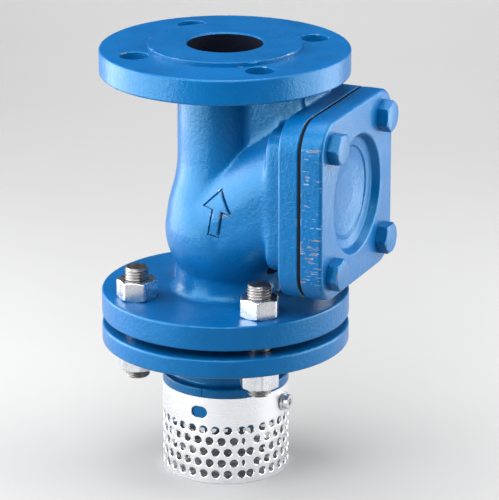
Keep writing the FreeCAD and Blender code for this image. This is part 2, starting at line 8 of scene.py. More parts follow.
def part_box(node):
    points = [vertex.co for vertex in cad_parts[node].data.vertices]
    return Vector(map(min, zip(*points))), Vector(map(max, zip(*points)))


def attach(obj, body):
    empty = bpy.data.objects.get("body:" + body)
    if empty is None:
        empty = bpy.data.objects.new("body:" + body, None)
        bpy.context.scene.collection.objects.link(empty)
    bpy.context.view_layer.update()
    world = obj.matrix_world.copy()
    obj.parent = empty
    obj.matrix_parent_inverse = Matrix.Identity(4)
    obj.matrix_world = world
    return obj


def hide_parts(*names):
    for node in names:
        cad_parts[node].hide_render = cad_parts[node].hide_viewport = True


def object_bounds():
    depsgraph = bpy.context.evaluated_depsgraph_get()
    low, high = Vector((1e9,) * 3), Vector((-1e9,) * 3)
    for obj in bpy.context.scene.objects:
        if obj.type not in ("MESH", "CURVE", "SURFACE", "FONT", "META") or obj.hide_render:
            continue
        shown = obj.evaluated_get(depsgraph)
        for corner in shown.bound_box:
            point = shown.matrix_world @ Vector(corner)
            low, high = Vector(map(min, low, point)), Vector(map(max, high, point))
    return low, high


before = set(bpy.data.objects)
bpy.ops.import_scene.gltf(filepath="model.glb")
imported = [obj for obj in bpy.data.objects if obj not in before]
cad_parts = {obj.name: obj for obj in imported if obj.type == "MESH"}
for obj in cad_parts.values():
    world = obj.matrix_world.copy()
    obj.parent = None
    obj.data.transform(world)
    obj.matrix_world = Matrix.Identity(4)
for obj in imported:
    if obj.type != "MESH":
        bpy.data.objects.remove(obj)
cad_low, cad_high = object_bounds()

MM = 0.001
TINY = 1e-7


class Span:
    """A CAD node's box, with its centre and size."""

    def __init__(self, node):
        self.low, self.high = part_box(node)
        self.centre = (self.low + self.high) / 2
        self.size = self.high - self.low


BODY = Span("valve_body")
COVER = Span("cover")
COVER_GASKET = Span("cover_gasket")
COVER_BOLTS = Span("cover_bolts")
GASKET = Span("flange_gasket")
STUDS = Span("flange_studs")
UPPER_NUTS = Span("upper_nuts")
LOWER_NUTS = Span("lower_nuts")
FLANGE = Span("strainer_flange")
BASKET = Span("strainer_basket")

# Sizes that the boxes don't hold.
FLANGE_R = -BODY.low.x
RIM = 17 * MM
RAISED_H = 3 * MM
RAISED_R = 51 * MM
BORE_R = 25 * MM
BOLT_CIRCLE_R = 62.5 * MM
FLANGE_HOLE_R = 9.5 * MM
LOWER_HOLE_R = 9 * MM
BORED_H = 50 * MM
CORED_R = 26 * MM
INLET_R = 24 * MM
PASSAGE_EDGE = 1.0 * MM
SEAT = Vector((2 * MM, 0, 149 * MM))
SEAT_TILT = Matrix.Rotation(math.radians(6), 4, "Y")
SEAT_OUT_R = 28 * MM
SEAT_H = 9 * MM
SEAT_LAND = 1 * MM
PAD_TOP = Span("hinge_bracket").low.z
PAD_X = 49 * MM
PAD_HALF = Span("hinge_bracket").size.y / 2 + 1 * MM
LOWER_TOP = BODY.low.z + RAISED_H + RIM
UPPER_RIM = BODY.high.z - RAISED_H - RIM
NECK_R = 31.5 * MM
FOOT_R = 33 * MM
BULB_R = 43.5 * MM
BULB = Vector((4 * MM, 0, 168 * MM))
CAVITY_R = 36.5 * MM
WALL = 8 * MM
UNDERSIZE = 0.35 * MM
VOXEL = 1.25 * MM
COVER_Z = COVER.centre.z
SQUARE_X = 63.5 * MM
SQUARE_FACE = COVER_GASKET.low.x
SQUARE_HALF = COVER.size.y / 2
SQUARE_CORNER = 20 * MM
COLLAR_X = 50 * MM
COLLAR_HALF_Y = 46 * MM
COLLAR_HALF_Z = 48 * MM
COLLAR_CORNER = 15 * MM
WEB_HALF = 20 * MM
BRANCH_R = 43 * MM
BRANCH_CORNER = 37 * MM
COVER_OPENING_R = 38 * MM
COVER_BOLT_PITCH = 42 * MM
MERGE = 2 * MM
STUD_R = 8 * MM
NUT_HALF_FLAT = 12 * MM
THREAD_PITCH = 2 * MM
CORNER_ANGLES = (45, 135, 225, 315)

# The strainer basket.
BASKET_R = 42.3 * MM
SHEET = 1.2 * MM
SEAM = -47.0
LAP = 0.7 * MM
LAP_SWEEP = 60.0
HOLES = 32
HOLE_R = 2.85 * MM
ROWS = 5
FIRST_ROW = 6.4 * MM
ROW_STEP = 7.8 * MM
COLUMNS = 8
SLOT_Z = 49.6 * MM
SLOT_W = 11.6 * MM
SLOT_H = 8.2 * MM
SLOT_CELL_HALF = 6 * MM


# ---- mesh helpers -------------------------------------------------------

def new_object(name, vertices, faces):
    mesh = bpy.data.meshes.new(name)
    mesh.from_pydata([tuple(v) for v in vertices], [], faces)
    obj = bpy.data.objects.new(name, mesh)
    bpy.context.scene.collection.objects.link(obj)
    edit(obj, lambda bm: bmesh.ops.recalc_face_normals(bm, faces=bm.faces))
    return obj


def edit(obj, change):
    bm = bmesh.new()
    bm.from_mesh(obj.data)
    change(bm)
    bm.to_mesh(obj.data)
    bm.free()
    obj.data.update()


def apply_modifiers(obj):
    graph = bpy.context.evaluated_depsgraph_get()
    mesh = bpy.data.meshes.new_from_object(obj.evaluated_get(graph))
    obj.modifiers.clear()
    old = obj.data
    obj.data = mesh
    bpy.data.meshes.remove(old)


def remove(obj):
    mesh = obj.data
    bpy.data.objects.remove(obj)
    bpy.data.meshes.remove(mesh)


def move(obj, offset=(0, 0, 0), turn=None):
    matrix = Matrix.Translation(offset)
    if turn:
        matrix = matrix @ turn
    obj.data.transform(matrix)
    return obj


def about_z(degrees):
    return Matrix.Rotation(math.radians(degrees), 4, "Z")


# A solid made along Z is turned by this to point along X, with its own X on Y.
ONTO_X = Matrix(((0, 0, 1, 0), (1, 0, 0, 0), (0, 1, 0, 0), (0, 0, 0, 1)))


def copy_of(obj, offset=(0, 0, 0), turn=None):
    twin = bpy.data.objects.new(obj.name + "_copy", obj.data.copy())
    bpy.context.scene.collection.objects.link(twin)
    return move(twin, offset, turn)


def joined(name, objects):
    """One object that holds the meshes of all, which are removed."""
    bm = bmesh.new()
    for obj in objects:
        bm.from_mesh(obj.data)
        remove(obj)
    mesh = bpy.data.meshes.new(name)
    bm.to_mesh(mesh)
    bm.free()
    obj = bpy.data.objects.new(name, mesh)
    bpy.context.scene.collection.objects.link(obj)
    return obj


def boolean(obj, tools, operation="DIFFERENCE"):
    """Cuts, adds or keeps each tool in turn. Tools are removed."""
    for tool in tools:
        step = obj.modifiers.new("boolean", "BOOLEAN")
        step.operation = operation
        step.solver = "MANIFOLD"
        step.object = tool
        apply_modifiers(obj)
        remove(tool)
    return obj


def smooth_shading(obj, degrees=32.0):
    obj.data.shade_smooth()
    obj.data.set_sharp_from_angle(angle=math.radians(degrees))
    weigh = obj.modifiers.new("weighted_normals", "WEIGHTED_NORMAL")
    weigh.keep_sharp = True
    weigh.weight = 60
    return obj


def polar(radius, degrees):
    angle = math.radians(degrees)
    return radius * math.cos(angle), radius * math.sin(angle)


def rounded(points, radius, steps=5, loop=False):
    """Turns each corner of a polyline into an arc. radius is one size, or one for each point."""
    count = len(points)
    radii = radius if isinstance(radius, (list, tuple)) else [radius] * count
    out = []
    for i, point in enumerate(points):
        end = not loop and i in (0, count - 1)
        corner = Vector(point)
        if end or radii[i] < TINY:
            out.append(tuple(corner))
            continue
        before = Vector(points[i - 1]) - corner
        after = Vector(points[(i + 1) % count]) - corner
        half = before.angle(after) / 2
        if half > math.pi / 2 - 0.01:
            out.append(tuple(corner))
            continue
        reach = min(radii[i] / math.tan(half), 0.49 * before.length, 0.49 * after.length)
        arc_r = reach * math.tan(half)
        centre = corner + (before.normalized() + after.normalized()).normalized() * (arc_r / math.sin(half))
        start = corner + before.normalized() * reach - centre
        stop = corner + after.normalized() * reach - centre
        sweep = start.angle(stop)
        for k in range(steps + 1):
            t = k / steps
            arm = (start * math.sin((1 - t) * sweep) + stop * math.sin(t * sweep)) / math.sin(sweep)
            out.append(tuple(centre + arm))
    return out


def lathe(name, profile, segments=192, loop=False):
    """Turns (radius, height) points about Z, from the bottom up on the outside."""
    vertices = []
    rings = []
    for r, z in profile:
        first = len(vertices)
        if r < TINY:
            vertices.append((0, 0, z))
            rings.append([first])
        else:
            vertices += [(*polar(r, 360 * i / segments), z) for i in range(segments)]
            rings.append(list(range(first, first + segments)))
    faces = []
    pairs = list(zip(rings, rings[1:]))
    if loop:
        pairs.append((rings[-1], rings[0]))
    for a, b in pairs:
        faces += strip(a, b)
    return new_object(name, vertices, faces)


def strip(a, b):
    """Faces between two rings, either of which may be one point."""
    count = max(len(a), len(b))
    faces = []
    for i in range(count):
        j = (i + 1) % count
        if len(a) == 1:
            faces.append((a[0], b[j], b[i]))
        elif len(b) == 1:
            faces.append((a[i], a[j], b[0]))
        else:
            faces.append((a[i], a[j], b[j], b[i]))
    return faces


def skin(name, rings):
    """A closed form through rings of points, with flat ends."""
    vertices = []
    indexed = []
    for ring in rings:
        indexed.append(list(range(len(vertices), len(vertices) + len(ring))))
        vertices += ring
    faces = [tuple(reversed(indexed[0])), tuple(indexed[-1])]
    for a, b in zip(indexed, indexed[1:]):
        faces += strip(a, b)
    return new_object(name, vertices, faces)


def square_ring(half_y, half_z, corner, x, steps=8):
    """A rounded square about the cover's centre, in the plane at x."""
    ring = []
    for quarter in range(4):
        sy = 1 if quarter in (0, 3) else -1
        sz = 1 if quarter in (0, 1) else -1
        for k in range(steps + 1):
            py, pz = polar(corner, 90 * quarter + 90 * k / steps)
            ring.append(Vector((x, sy * (half_y - corner) + py, COVER_Z + sz * (half_z - corner) + pz)))
    return ring


def plate(name, half, corner, x0, x1, edge0, edge1, steps=5):
    """A rounded square plate across X, with rounded edges at both faces."""
    levels = []
    for k in range(steps + 1):
        a = math.pi / 2 * k / steps
        levels.append((edge0 * (1 - math.sin(a)), x0 + edge0 * (1 - math.cos(a))))
    for k in range(steps + 1):
        a = math.pi / 2 * k / steps
        levels.append((edge1 * (1 - math.cos(a)), x1 - edge1 * (1 - math.sin(a))))
    return skin(name, [square_ring(half - inset, half - inset, corner - inset, x) for inset, x in levels])


def waver(obj, amount, size, keep=None):
    """Moves each point along its normal by smooth noise, as on a sand casting."""
    def change(bm):
        bm.normal_update()
        for vertex in bm.verts:
            if keep is None or keep(vertex.co):
                vertex.co += vertex.normal * (amount * noise.noise(vertex.co / size))
    edit(obj, change)
    return obj


# ---- materials ----------------------------------------------------------

class Nodes:
    """Short calls for building one material's node tree."""

    def __init__(self, name):
        self.material = bpy.data.materials.new(name)
        self.material.use_nodes = True
        self.tree = self.material.node_tree
        self.shader = self.tree.nodes["Principled BSDF"]
        self.place = self.add("ShaderNodeTexCoord").outputs["Object"]

    def add(self, kind, **settings):
        node = self.tree.nodes.new(kind)
        for key, value in settings.items():
            setattr(node, key, value)
        return node

    def link(self, source, target):
        self.tree.links.new(source, target)

    def stretch(self, scale):
        node = self.add("ShaderNodeMapping")
        node.inputs["Scale"].default_value = scale
        self.link(self.place, node.inputs["Vector"])
        return node.outputs["Vector"]

    def noise(self, scale, detail=3.0, rough=0.5, vector=None):
        node = self.add("ShaderNodeTexNoise")
        node.inputs["Scale"].default_value = scale
        node.inputs["Detail"].default_value = detail
        node.inputs["Roughness"].default_value = rough
        self.link(vector or self.place, node.inputs["Vector"])
        return node.outputs["Fac"]

    def remap(self, value, low, high, to_low=0.0, to_high=1.0):
        node = self.add("ShaderNodeMapRange")
        node.inputs["From Min"].default_value = low
        node.inputs["From Max"].default_value = high
        node.inputs["To Min"].default_value = to_low
        node.inputs["To Max"].default_value = to_high
        self.link(value, node.inputs["Value"])
        return node.outputs["Result"]

    def math(self, operation, a, b):
        node = self.add("ShaderNodeMath", operation=operation)
        for socket, value in zip(node.inputs, (a, b)):
            if isinstance(value, (int, float)):
                socket.default_value = value
            else:
                self.link(value, socket)
        return node.outputs[0]

    def mix(self, factor, a, b):
        node = self.add("ShaderNodeMix", data_type="RGBA")
        self.link(factor, node.inputs["Factor"])
        # The node's colour sockets are inputs 6 and 7 and output 2.
        for socket, value in ((node.inputs[6], a), (node.inputs[7], b)):
            if isinstance(value, tuple):
                socket.default_value = (*value, 1.0)
            else:
                self.link(value, socket)
        return node.outputs[2]

    def axis(self, name):
        node = self.add("ShaderNodeSeparateXYZ")
        self.link(self.place, node.inputs["Vector"])
        return node.outputs[name]

    def edges(self, radius):
        """1 on edges and corners sharper than radius, 0 on even faces."""
        bevel = self.add("ShaderNodeBevel", samples=4)
        bevel.inputs["Radius"].default_value = radius
        away = self.add("ShaderNodeVectorMath", operation="DISTANCE")
        self.link(bevel.outputs["Normal"], away.inputs[0])
        self.link(self.add("ShaderNodeNewGeometry").outputs["Normal"], away.inputs[1])
        return self.remap(away.outputs["Value"], 0.12, 0.45)

    def bump(self, height, depth, normal=None, strength=1.0):
        node = self.add("ShaderNodeBump")
        node.inputs["Distance"].default_value = depth
        node.inputs["Strength"].default_value = strength
        self.link(height, node.inputs["Height"])
        if normal:
            self.link(normal, node.inputs["Normal"])
        return node.outputs["Normal"]

    def set(self, **sockets):
        names = {
            "color": "Base Color", "metallic": "Metallic", "roughness": "Roughness", "normal": "Normal",
            "coat": "Coat Weight", "coat_roughness": "Coat Roughness", "coat_normal": "Coat Normal",
            "ior": "IOR", "specular": "Specular IOR Level",
        }
        for key, value in sockets.items():
            socket = self.shader.inputs[names[key]]
            if isinstance(value, (int, float)):
                socket.default_value = value
            elif isinstance(value, tuple):
                socket.default_value = (*value, 1.0)
            else:
                self.link(value, socket)
        return self.material


def enamel(name, chips=None):
    """Glossy blue enamel on a sand casting. chips(nodes) gives a mask where the paint is scratched."""
    n = Nodes(name)
    patches = n.noise(24, 3)
    blue = n.mix(n.remap(patches, 0.35, 0.65), (0.0002, 0.064, 0.200), (0.0003, 0.076, 0.235))
    specks = n.remap(n.noise(900, 2), 0.68, 0.74)
    blue = n.mix(n.math("MULTIPLY", specks, 0.4), blue, (0.0006, 0.02, 0.09))
    chipped = n.math("MULTIPLY", n.edges(0.9 * MM), n.remap(n.noise(110, 4, 0.65), 0.585, 0.625))
    worn_edge = n.mix(n.remap(n.noise(70, 2), 0.42, 0.58), (0.26, 0.17, 0.13), (0.34, 0.42, 0.50))
    blue = n.mix(chipped, blue, worn_edge)
    roughness = n.remap(n.noise(60, 4), 0.3, 0.7, 0.30, 0.42)
    if chips:
        mask = chips(n)
        worn = n.mix(n.remap(n.noise(90, 2), 0.42, 0.58), (0.22, 0.13, 0.09), (0.20, 0.34, 0.48))
        blue = n.mix(mask, blue, worn)
        roughness = n.math("ADD", roughness, n.math("MULTIPLY", mask, 0.3))
    peel = n.bump(n.noise(330, 3, 0.6), 0.0006, strength=0.5)
    grain = n.bump(n.noise(1000, 2, 0.6), 0.00022, peel, 0.6)
    n.shader.inputs["Specular Tint"].default_value = (0.15, 0.72, 1.0, 1.0)
    return n.set(color=blue, roughness=roughness, normal=grain, coat=0.14, coat_roughness=0.14,
                 coat_normal=peel, ior=1.5)


def scuffed_side(n):
    """Short scratches along X on the cover's side that faces -Y."""
    lines = n.noise(1.0, 3, 0.6, n.stretch((60, 60, 900)))
    breaks = n.noise(230, 2)
    mask = n.math("MULTIPLY", n.remap(lines, 0.57, 0.61), n.remap(breaks, 0.47, 0.55))
    side = n.remap(n.axis("Y"), COVER.low.y + 1.4 * MM, COVER.low.y + 0.6 * MM)
    return n.math("MULTIPLY", n.math("MULTIPLY", mask, side), 0.75)


def scuffed_bolt(n):
    """Paint knocked off the corners of a bolt's head."""
    return n.math("MULTIPLY", n.edges(1.2 * MM), n.remap(n.noise(110, 3), 0.55, 0.62))


def stainless_sheet(name):
    """Bright rolled sheet, with faint drawn lines around the basket and soft smears."""
    n = Nodes(name)
    lines = n.noise(1.0, 3, 0.6, n.stretch((40, 40, 1500)))
    smears = n.noise(22, 3)
    color = n.mix(n.remap(smears, 0.3, 0.7), (0.88, 0.90, 0.94), (0.95, 0.955, 0.97))
    roughness = n.math("ADD", n.remap(lines, 0.3, 0.7, 0.25, 0.30), n.remap(smears, 0.4, 0.7, 0.0, 0.05))
    grain = n.bump(lines, 0.000008, strength=0.3)
    dents = n.bump(n.noise(45, 2), 0.00025, grain, 0.4)
    return n.set(color=color, metallic=1.0, roughness=roughness, normal=dents)


def machined(name, color_a, color_b, rough_a, rough_b, metallic=1.0, scale=300):
    """Turned or plated metal with fine marks and blotches."""
    n = Nodes(name)
    blotches = n.noise(90, 4, 0.6)
    fine = n.noise(scale, 4, 0.65)
    color = n.mix(n.remap(blotches, 0.35, 0.65), color_a, color_b)
    roughness = n.remap(fine, 0.3, 0.7, rough_a, rough_b)
    grain = n.bump(fine, 0.00006, strength=0.5)
    return n.set(color=color, metallic=metallic, roughness=roughness, normal=grain)


def thread_steel(name):
    """Stud steel, with painted shade darkening the thread's roots."""
    n = Nodes(name)
    edges = n.add("ShaderNodeNewGeometry").outputs["Pointiness"]
    dirt = n.noise(260, 3)
    color = n.mix(n.remap(dirt, 0.35, 0.7), (0.20, 0.195, 0.195), (0.32, 0.31, 0.305))
    # Low pointiness, in the thread's roots, mixes in a near-black: painted shade in the roots.
    color = n.mix(n.remap(edges, 0.38, 0.50, 0.8, 0.0), color, (0.07, 0.065, 0.06))
    grain = n.bump(dirt, 0.00005, strength=0.5)
    return n.set(color=color, metallic=1.0, roughness=n.remap(dirt, 0.3, 0.7, 0.28, 0.45), normal=grain)


def sheet_gasket(name, color_a, color_b, rough, specular=0.5):
    """Fibre, rubber, or the near-black painted shade for the body's inner faces."""
    n = Nodes(name)
    fibres = n.noise(700, 4, 0.7)
    color = n.mix(n.remap(fibres, 0.35, 0.65), color_a, color_b)
    grain = n.bump(fibres, 0.00012, strength=0.7)
    roughness = n.remap(fibres, 0.3, 0.7, rough, rough + 0.15)
    return n.set(color=color, roughness=roughness, specular=specular, normal=grain)


ENAMEL = enamel("blue_enamel")
COVER_ENAMEL = enamel("blue_enamel_scuffed", scuffed_side)
BOLT_ENAMEL = enamel("blue_enamel_worn", scuffed_bolt)
SHEET_STEEL = stainless_sheet("stainless_sheet")
# Dark stainless for the basket's inner faces: painted shade, the sheet being the same bright steel inside.
SHEET_PAINTED_SHADE = machined("stainless_painted_shade", (0.10, 0.11, 0.10), (0.16, 0.16, 0.15), 0.45, 0.6, 0.7, 160)
ZINC = machined("zinc_plate", (0.70, 0.71, 0.74), (0.58, 0.60, 0.64), 0.22, 0.34)
THREAD = thread_steel("thread_steel")
STAINLESS = machined("stainless_bar", (0.72, 0.73, 0.75), (0.62, 0.63, 0.65), 0.25, 0.38)
BRONZE = machined("bronze", (0.62, 0.40, 0.17), (0.50, 0.31, 0.13), 0.25, 0.42)
IRON = machined("dark_iron", (0.16, 0.165, 0.175), (0.11, 0.11, 0.12), 0.45, 0.62, 0.8, 420)
FIBRE = sheet_gasket("gasket_fibre", (0.002, 0.002, 0.003), (0.007, 0.007, 0.008), 0.62, 0.08)
# Near-black for the body's passage, chamber and cover opening: painted shade inside the casting.
PAINTED_SHADE_INSIDE = sheet_gasket("painted_shade_inside", (0.0005, 0.0015, 0.007), (0.0015, 0.003, 0.010), 0.6, 0.1)
RUBBER = sheet_gasket("facing_rubber", (0.016, 0.016, 0.016), (0.030, 0.030, 0.030), 0.50)


def dress(obj, material):
    obj.data.materials.clear()
    obj.data.materials.append(material)
    for polygon in obj.data.polygons:
        polygon.material_index = 0
    return obj


def stand_for(obj, node, body, material):
    """The piece takes a CAD node's place."""
    dress(obj, material)
    obj.name = node + "_look"
    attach(obj, body)
    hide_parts(node)


# ---- valve body ---------------------------------------------------------

def flange(low, high, face_low, face_high, shrink=0.0):
    """A flange disc with its raised face, without holes."""
    r = FLANGE_R - shrink
    rim = [(0, low + shrink), (r, low + shrink), (r, high - shrink), (0, high - shrink)]
    disc = lathe("disc", rounded(rim, [0, 1.6 * MM, 1.6 * MM, 0]), 256)
    if shrink:
        return [disc]
    raised = [(0, face_low), (RAISED_R, face_low), (RAISED_R, face_high), (0, face_high)]
    return [disc, lathe("raised", rounded(raised, [0, 0.6 * MM, 0.6 * MM, 0], 3), 256)]


def hole_tools(radius, low, high, bevel=0.5 * MM):
    """Cutters for a flange's bolt holes, with a small countersink at both faces."""
    tool = lathe("hole", [
        (0, low - 5 * MM), (radius + bevel + 5 * MM, low - 5 * MM), (radius, low + bevel),
        (radius, high - bevel), (radius + bevel + 5 * MM, high + 5 * MM), (0, high + 5 * MM),
    ], 64)
    tools = [copy_of(tool, (*polar(BOLT_CIRCLE_R, a), 0)) for a in CORNER_ANGLES]
    remove(tool)
    return tools


def branch(grow):
    """The round inclined branch, which widens a little from the bulb to the collar."""
    spread = grow - 0.6 * MM
    outer = square_ring(COLLAR_HALF_Y + spread, COLLAR_HALF_Z + spread, BRANCH_CORNER, COLLAR_X)
    lean = math.atan2(COVER_Z - BULB.z, COLLAR_X - BULB.x)
    up = Vector((-math.sin(lean), 0, math.cos(lean)))
    inner = []
    for point in outer:
        angle = math.atan2(point.z - COVER_Z, point.y)
        inner.append(BULB + Vector((0, 1, 0)) * ((BRANCH_R + grow) * math.cos(angle))
                     + up * ((BRANCH_R + grow) * math.sin(angle)))
    rings = []
    steps = 6
    for k in range(steps + 1):
        t = k / steps
        rings.append([a.lerp(b, t) for a, b in zip(inner, outer)])
    rings.append([point + Vector((SQUARE_X + MERGE - COLLAR_X, 0, 0)) for point in outer])
    return skin("branch", rings)


def bar(name, low, high):
    """A square-edged block between two corners."""
    sides = [(low[0], low[1]), (high[0], low[1]), (high[0], high[1]), (low[0], high[1])]
    return skin(name, [[Vector((x, y, z)) for x, y in sides] for z in (low[2], high[2])])


def collar():
    """The boxed collar between the branch and the cover flange."""
    edge = 1.2 * MM
    rings = []
    near = COLLAR_X - MERGE
    for inset, x in ((edge, near), (0.3 * edge, near + 0.3 * edge), (0, near + edge), (0, SQUARE_X + MERGE)):
        rings.append(square_ring(COLLAR_HALF_Y - inset, COLLAR_HALF_Z - inset, COLLAR_CORNER - inset, x))
    return skin("collar", rings)


def ball(radius, centre):
    profile = [(0, -radius)] + [polar(radius, a) for a in range(-88, 89, 4)] + [(0, radius)]
    return move(lathe("ball", profile, 128), centre)


def flared(radius, flange_z, end_z, away):
    """A neck's profile that widens into a flange. away is 1 if the neck stands on it, -1 if it hangs."""
    flare = ((6, -3), (3, 1), (0.8, 4), (0, 7))
    wide = [(radius + grow * MM, flange_z + away * rise * MM) for grow, rise in flare]
    profile = [(0, wide[0][1])] + wide + [(radius, end_z), (0, end_z)]
    return profile if away > 0 else profile[::-1]


def cast_skin():
    """Bulb, necks, branch and slightly undersized flanges, melted together with soft fillets."""
    parts = [ball(BULB_R, BULB), branch(0.0), collar()]
    swell = [
        (0, 165), (39.4, 165), (39.2, 175), (38.0, 184), (36.0, 192), (34.0, 199), (32.5, 206), (31.7, 214),
        (0, 214),
    ]
    parts.append(lathe("swell", [(r * MM, z * MM) for r, z in swell]))
    parts.append(lathe("neck", flared(NECK_R, UPPER_RIM, BULB.z + 15 * MM, -1)))
    parts.append(lathe("foot", flared(FOOT_R, LOWER_TOP, BULB.z - 8 * MM, 1)))
    parts += flange(LOWER_TOP - RIM, LOWER_TOP, 0, 0, UNDERSIZE)
    parts += flange(UPPER_RIM, UPPER_RIM + RIM, 0, 0, UNDERSIZE)
    parts.append(bar("web", (0, -WEB_HALF, COVER_Z), (SQUARE_X + MERGE, WEB_HALF, UPPER_RIM + MERGE)))
    parts.append(plate("square", SQUARE_HALF - UNDERSIZE, SQUARE_CORNER, SQUARE_X + UNDERSIZE,
                       SQUARE_FACE - UNDERSIZE, 1 * MM, 1 * MM))
    melt = joined("melt", parts)
    remesh = melt.modifiers.new("melt", "REMESH")
    remesh.mode = "VOXEL"
    remesh.voxel_size = VOXEL
    soften = melt.modifiers.new("soften", "SMOOTH")
    soften.factor = 0.5
    soften.iterations = 22
    apply_modifiers(melt)
    return waver(melt, 0.35 * MM, 22 * MM)


def arrow_prism(inset):
    """A plain flow arrow that points up the bulb's side, drawn in by inset (mm)."""
    shaft = 3.0 - inset
    head = 9.0 - 1.9 * inset
    tip = 15 - 1.6 * inset
    neck = 3 + inset
    tail = -14 + inset
    outline = [
        (-shaft, tail), (shaft, tail), (shaft, neck), (head, neck), (0, tip), (-head, neck), (-shaft, neck),
    ]
    facing = math.radians(-78)
    outward = Vector((math.cos(facing), math.sin(facing), 0))
    sideways = Vector((-math.sin(facing), math.cos(facing), 0))
    middle = BULB + Vector((0, 0, 21 * MM))
    tilt = math.radians(-9)
    rings = []
    for depth in (20 * MM, 60 * MM):
        ring = []
        for across, along in outline:
            a = (across * math.cos(tilt) - along * math.sin(tilt)) * MM
            b = (across * math.sin(tilt) + along * math.cos(tilt)) * MM
            ring.append(middle + outward * depth + sideways * a + Vector((0, 0, b)))
        rings.append(ring)
    return skin("arrow", rings)


def shell_of(body, rise):
    """A copy of the body with its skin moved outwards by rise."""
    def change(bm):
        bm.normal_update()
        for vertex in bm.verts:
            vertex.co += vertex.normal * rise
    shell = copy_of(body)
    edit(shell, change)
    return shell


def add_arrow(body):
    """A raised arrow with a narrow groove around it."""
    layers = [boolean(shell_of(body, rise * MM), [arrow_prism(inset)], "INTERSECT")
              for inset, rise in ((0.0, 0.5), (0.4, 0.9), (0.9, 1.1))]
    groove = boolean(arrow_prism(-1.3), [shell_of(body, -1.1 * MM)])
    boolean(body, [groove])
    boolean(body, layers, "UNION")


def drum(radius, low, high, segments):
    return lathe("drum", [(0, low), (radius, low), (radius, high), (0, high)], segments)


def seat_slab(low, high):
    """A slab across the body, square to the tilted seat."""
    return move(drum(90 * MM, low, high, 64), SEAT, SEAT_TILT)


def is_inside(point):
    """Whether a point of the body's surface is on its passage, chamber or cover opening."""
    slack = 0.4 * MM
    passage = math.hypot(point.x, point.y) < CORED_R + slack and point.z < BODY.high.z - 1.5 * MM
    chamber = (point - BULB).length < CAVITY_R + slack
    axis = (Vector((SQUARE_X, 0, COVER_Z)) - BULB).normalized()
    along = (point - BULB).dot(axis)
    around = (point - BULB - axis * along).length
    branch_bore = along > 0 and around < BRANCH_R - 2.5 * MM and point.x < SQUARE_FACE - 0.1 * MM
    return passage or chamber or branch_bore


def make_valve_body():
    body = cast_skin()
    add_arrow(body)
    square = plate("square", SQUARE_HALF, SQUARE_CORNER, SQUARE_X, SQUARE_FACE, 2.0 * MM, 1.0 * MM)
    adds = [square]
    adds += flange(LOWER_TOP - RIM, LOWER_TOP, BODY.low.z, LOWER_TOP - 5 * MM)
    adds += flange(UPPER_RIM, UPPER_RIM + RIM, UPPER_RIM + 5 * MM, BODY.high.z)
    boolean(body, adds, "UNION")

    top = BODY.high.z
    hollows = [
        ball(CAVITY_R, BULB),
        branch(-WALL),
        move(drum(COVER_OPENING_R, 0, 30 * MM, 128), (SQUARE_X - 12 * MM, 0, COVER_Z), ONTO_X),
        drum(CORED_R, BULB.z, top - BORED_H, 160),
    ]
    for hollow in hollows:
        boolean(hollow, [seat_slab(-60 * MM, -SEAT_LAND)])
    bore = lathe("bore", [
        (0, BULB.z), (BORE_R, BULB.z), (BORE_R, top - PASSAGE_EDGE), (BORE_R + 1.5 * MM, top + 0.5 * MM),
        (BORE_R + 1.5 * MM, top + 5 * MM), (0, top + 5 * MM),
    ], 160)
    inlet = boolean(drum(INLET_R, BODY.low.z - 5 * MM, SEAT.z, 160), [seat_slab(-SEAT_H, 60 * MM)])
    pocket = move(drum(SEAT_OUT_R, -SEAT_H - 0.01 * MM, 0, 128), SEAT, SEAT_TILT)
    boolean(body, hollows + [bore, inlet, pocket])
    boolean(body, hole_tools(LOWER_HOLE_R, BODY.low.z + RAISED_H, LOWER_TOP))
    boolean(body, hole_tools(FLANGE_HOLE_R, UPPER_RIM, UPPER_RIM + RIM))
    pad = bar("pad", (PAD_X, -PAD_HALF, PAD_TOP - 10 * MM), (SQUARE_X + 1 * MM, PAD_HALF, PAD_TOP))
    boolean(body, [pad], "UNION")
    smooth_shading(body)
    stand_for(body, "valve_body", "housing", ENAMEL)
    # Faces in the passage, chamber and cover opening take the near-black: painted shade inside the body.
    body.data.materials.append(PAINTED_SHADE_INSIDE)
    for polygon in body.data.polygons:
        if is_inside(polygon.center):
            polygon.material_index = 1


# ---- cover --------------------------------------------------------------

def cover_corners():
    sides = (-COVER_BOLT_PITCH, COVER_BOLT_PITCH)
    return [(y, z) for y in sides for z in sides]


def make_cover():
    cover = plate("cover", SQUARE_HALF, SQUARE_CORNER, COVER_GASKET.high.x, COVER.high.x, 0.8 * MM, 2.6 * MM)
    spigot = move(drum(COVER_OPENING_R - 0.5 * MM, 0, 8 * MM, 128), (COVER.low.x, 0, COVER_Z), ONTO_X)
    boolean(cover, [spigot], "UNION")
    rim = 40 * MM
    dish = 30.5 * MM
    recess = rounded([
        (0, -9.6 * MM), (14 * MM, -9.2 * MM), (24 * MM, -8.2 * MM), (dish - 2.2 * MM, -7.2 * MM),
        (dish - 0.6 * MM, -7.9 * MM), (dish + 0.6 * MM, -6.7 * MM), (rim - 3.0 * MM, -5.6 * MM),
        (rim - 0.4 * MM, 0), (rim + 4 * MM, 0), (rim + 4 * MM, 4 * MM), (0, 4 * MM),
    ], [0, 20 * MM, 20 * MM, 1 * MM, 0.7 * MM, 0.8 * MM, 2.0 * MM, 1.6 * MM, 0, 0, 0])
    recess = move(lathe("recess", recess, 192), (COVER.high.x - 0.02 * MM, 0, COVER_Z), ONTO_X)
    hole_r = 6.6 * MM
    holes = [move(drum(hole_r, 0, 30 * MM, 48), (COVER.low.x - 3 * MM, y, COVER_Z + z), ONTO_X)
             for y, z in cover_corners()]
    boolean(cover, [recess] + holes)
    smooth_shading(cover)
    stand_for(cover, "cover", "housing", COVER_ENAMEL)


